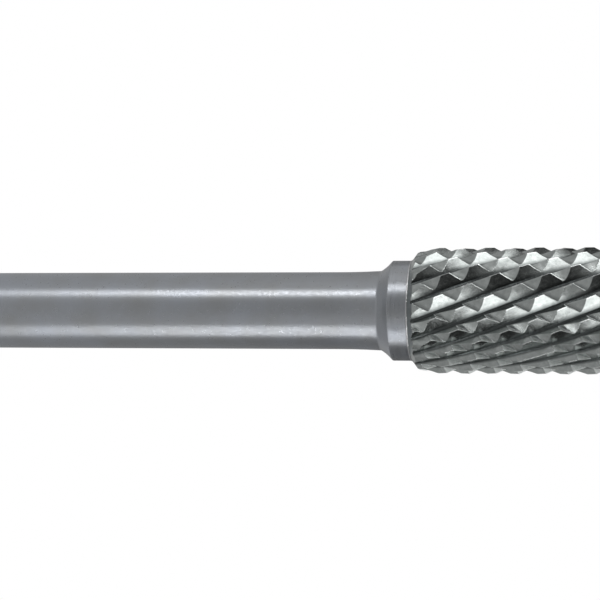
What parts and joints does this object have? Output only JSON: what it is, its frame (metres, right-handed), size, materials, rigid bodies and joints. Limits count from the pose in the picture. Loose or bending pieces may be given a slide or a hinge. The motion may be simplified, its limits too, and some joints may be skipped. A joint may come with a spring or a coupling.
{
  "type": "carbide burr",
  "caption": "Cylindrical rotary burr: a cross-cut carbide head brazed to a collared steel shank, standing on its plain end.",
  "frame": {"origin": "centre of the head's plain end face, on the floor it stands on", "axes": "+Z along the shank's axis, from the head's end towards the shank's free end"},
  "size_m": [0.0096, 0.0096, 0.0641],
  "materials": {
    "carbide": "ground, bright facets",
    "braze": "silver braze, as flowed",
    "steel": "satin, turned and ground"
  },
  "bodies": {
    "root": {"carbide_head": "carbide", "braze_seam": "braze", "steel_shank": "steel"}
  },
  "joints": []
}
